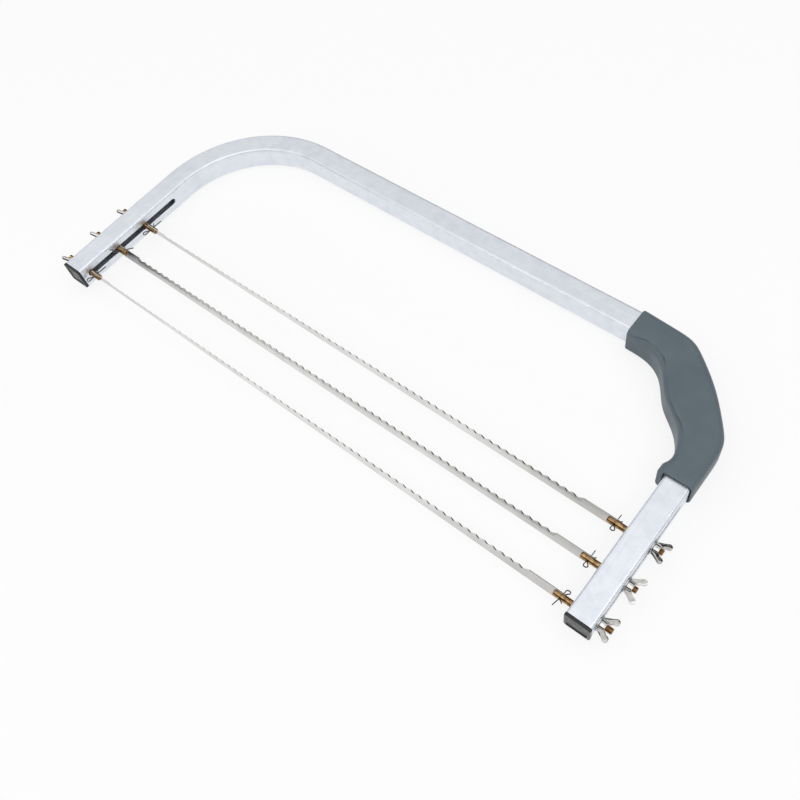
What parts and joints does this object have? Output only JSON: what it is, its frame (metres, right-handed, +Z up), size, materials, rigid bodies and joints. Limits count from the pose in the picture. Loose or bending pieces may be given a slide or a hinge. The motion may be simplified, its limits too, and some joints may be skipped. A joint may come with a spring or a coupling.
{
  "type": "cake leveler",
  "caption": "Bent square-tube frame with a moulded corner grip; scalloped cutting strips run between slit studs that slide in the leg slots and are locked by wing nuts.",
  "frame": {"origin": "on the table, under the middle of the outline box of the tool lying flat", "axes": "+X along the spine towards the grip, +Y from the feet to the spine, +Z up out of the frame plane"},
  "size_m": [0.5416, 0.2242, 0.0246],
  "materials": {
    "frame_aluminium": "satin mill finish, clear anodised",
    "grip_plastic": "fine matte moulded plastic",
    "cap_plastic": "smooth black plastic",
    "blade_steel": "ground stainless strip",
    "stud_brass": "turned brass rod, bright",
    "pin_steel": "dark oiled spring wire",
    "washer_steel": "bright zinc plated",
    "nut_nickel": "bright nickel plated"
  },
  "bodies": {
    "frame": {"frame_tube": "frame_aluminium", "handle_grip": "grip_plastic", "end_cap_left": "cap_plastic", "end_cap_right": "cap_plastic"},
    "lower_blade_set": {"blade_lower": "blade_steel", "stud_lower_left": "stud_brass", "pin_lower_left": "pin_steel", "washer_lower_left": "washer_steel", "stud_lower_right": "stud_brass", "pin_lower_right": "pin_steel", "washer_lower_right": "washer_steel"},
    "lower_left_nut": {"wing_nut_lower_left": "nut_nickel"},
    "lower_right_nut": {"wing_nut_lower_right": "nut_nickel"},
    "middle_blade_set": {"blade_middle": "blade_steel", "stud_middle_left": "stud_brass", "pin_middle_left": "pin_steel", "washer_middle_left": "washer_steel", "stud_middle_right": "stud_brass", "pin_middle_right": "pin_steel", "washer_middle_right": "washer_steel"},
    "middle_left_nut": {"wing_nut_middle_left": "nut_nickel"},
    "middle_right_nut": {"wing_nut_middle_right": "nut_nickel"},
    "upper_blade_set": {"blade_upper": "blade_steel", "stud_upper_left": "stud_brass", "pin_upper_left": "pin_steel", "washer_upper_left": "washer_steel", "stud_upper_right": "stud_brass", "pin_upper_right": "pin_steel", "washer_upper_right": "washer_steel"},
    "upper_left_nut": {"wing_nut_upper_left": "nut_nickel"},
    "upper_right_nut": {"wing_nut_upper_right": "nut_nickel"}
  },
  "joints": [
    {"name": "lower_blade_height", "type": "slide", "parent": "frame", "child": "lower_blade_set", "axis": [0, 1, 0], "range_m": [0, 0.005]},
    {"name": "lower_left_nut_turn", "type": "hinge", "parent": "lower_blade_set", "child": "lower_left_nut", "pos_m": [-0.265, -0.10124, 0.0123], "axis": [-1, 0, 0], "continuous": true},
    {"name": "lower_right_nut_turn", "type": "hinge", "parent": "lower_blade_set", "child": "lower_right_nut", "pos_m": [0.265, -0.10124, 0.0123], "axis": [1, 0, 0], "continuous": true},
    {"name": "middle_blade_height", "type": "slide", "parent": "frame", "child": "middle_blade_set", "axis": [0, 1, 0], "range_m": [-0.005, 0.005]},
    {"name": "middle_left_nut_turn", "type": "hinge", "parent": "middle_blade_set", "child": "middle_left_nut", "pos_m": [-0.265, -0.07024, 0.0123], "axis": [-1, 0, 0], "continuous": true},
    {"name": "middle_right_nut_turn", "type": "hinge", "parent": "middle_blade_set", "child": "middle_right_nut", "pos_m": [0.265, -0.07024, 0.0123], "axis": [1, 0, 0], "continuous": true},
    {"name": "upper_blade_height", "type": "slide", "parent": "frame", "child": "upper_blade_set", "axis": [0, 1, 0], "range_m": [-0.005, 0.032]},
    {"name": "upper_left_nut_turn", "type": "hinge", "parent": "upper_blade_set", "child": "upper_left_nut", "pos_m": [-0.265, -0.03924, 0.0123], "axis": [-1, 0, 0], "continuous": true},
    {"name": "upper_right_nut_turn", "type": "hinge", "parent": "upper_blade_set", "child": "upper_right_nut", "pos_m": [0.265, -0.03924, 0.0123], "axis": [1, 0, 0], "continuous": true}
  ]
}
